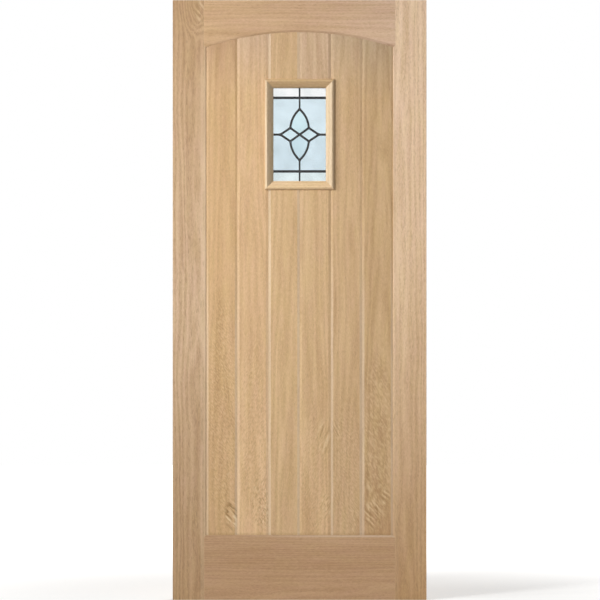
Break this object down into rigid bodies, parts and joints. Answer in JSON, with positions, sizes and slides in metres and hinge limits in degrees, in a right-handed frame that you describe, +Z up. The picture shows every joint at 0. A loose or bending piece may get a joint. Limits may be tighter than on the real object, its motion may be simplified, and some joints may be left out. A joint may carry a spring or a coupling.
{
  "type": "arched-panel boarded door leaf with leaded light",
  "caption": "Oak stile-and-rail door leaf with an arched top rail, V-jointed boards and a small leaded glazed light, to be hung on either edge",
  "frame": {"origin": "middle of the leaf's bottom edge, half way through its thickness", "axes": "+X across the leaf to the right as seen from the front, +Z up, and the front faces -Y"},
  "size_m": [0.838, 0.0614, 1.981],
  "materials": {
    "oak_frame": "bare oak, planed and sanded",
    "oak_boards": "bare oak, planed and sanded",
    "oak_beads": "bare oak, moulded and sanded",
    "beech_dowels": "turned",
    "brad_steel": "flat drawn wire",
    "clear_glass": "toughened float",
    "quarry_glass": "obscured, pale blue",
    "lead": "dark patina",
    "spacer_aluminium": "mill finish",
    "sealant": "matt",
    "glazing_tape": "closed-cell foam",
    "packer_plastic": "moulded"
  },
  "bodies": {
    "root": {"board_1": "oak_boards", "board_2": "oak_boards", "board_3_lower": "oak_boards", "board_3_upper": "oak_boards", "board_4_lower": "oak_boards", "board_4_upper": "oak_boards", "board_5": "oak_boards", "board_6": "oak_boards", "bottom_rail": "oak_frame", "bottom_rail_dowels": "beech_dowels", "edge_seal": "sealant", "hinge_stile": "oak_frame", "inner_bead_bottom": "oak_beads", "inner_bead_brads": "brad_steel", "inner_bead_left": "oak_beads", "inner_bead_right": "oak_beads", "inner_bead_top": "oak_beads", "inner_glazing_tape": "glazing_tape", "inner_pane": "clear_glass", "inner_spacer": "spacer_aluminium", "lead_cames": "lead", "lock_stile": "oak_frame", "outer_bead_bottom": "oak_beads", "outer_bead_brads": "brad_steel", "outer_bead_left": "oak_beads", "outer_bead_right": "oak_beads", "outer_bead_top": "oak_beads", "outer_glazing_tape": "glazing_tape", "outer_pane": "clear_glass", "outer_spacer": "spacer_aluminium", "quarry_diamond_left": "quarry_glass", "quarry_diamond_right": "quarry_glass", "quarry_field_lower_left": "quarry_glass", "quarry_field_lower_right": "quarry_glass", "quarry_field_upper_left": "quarry_glass", "quarry_field_upper_right": "quarry_glass", "quarry_lancet_lower": "quarry_glass", "quarry_lancet_upper": "quarry_glass", "quarry_strip_lower_left": "quarry_glass", "quarry_strip_lower_right": "quarry_glass", "quarry_strip_upper_left": "quarry_glass", "quarry_strip_upper_right": "quarry_glass", "setting_blocks": "packer_plastic", "top_rail": "oak_frame", "top_rail_dowels": "beech_dowels"}
  },
  "joints": []
}
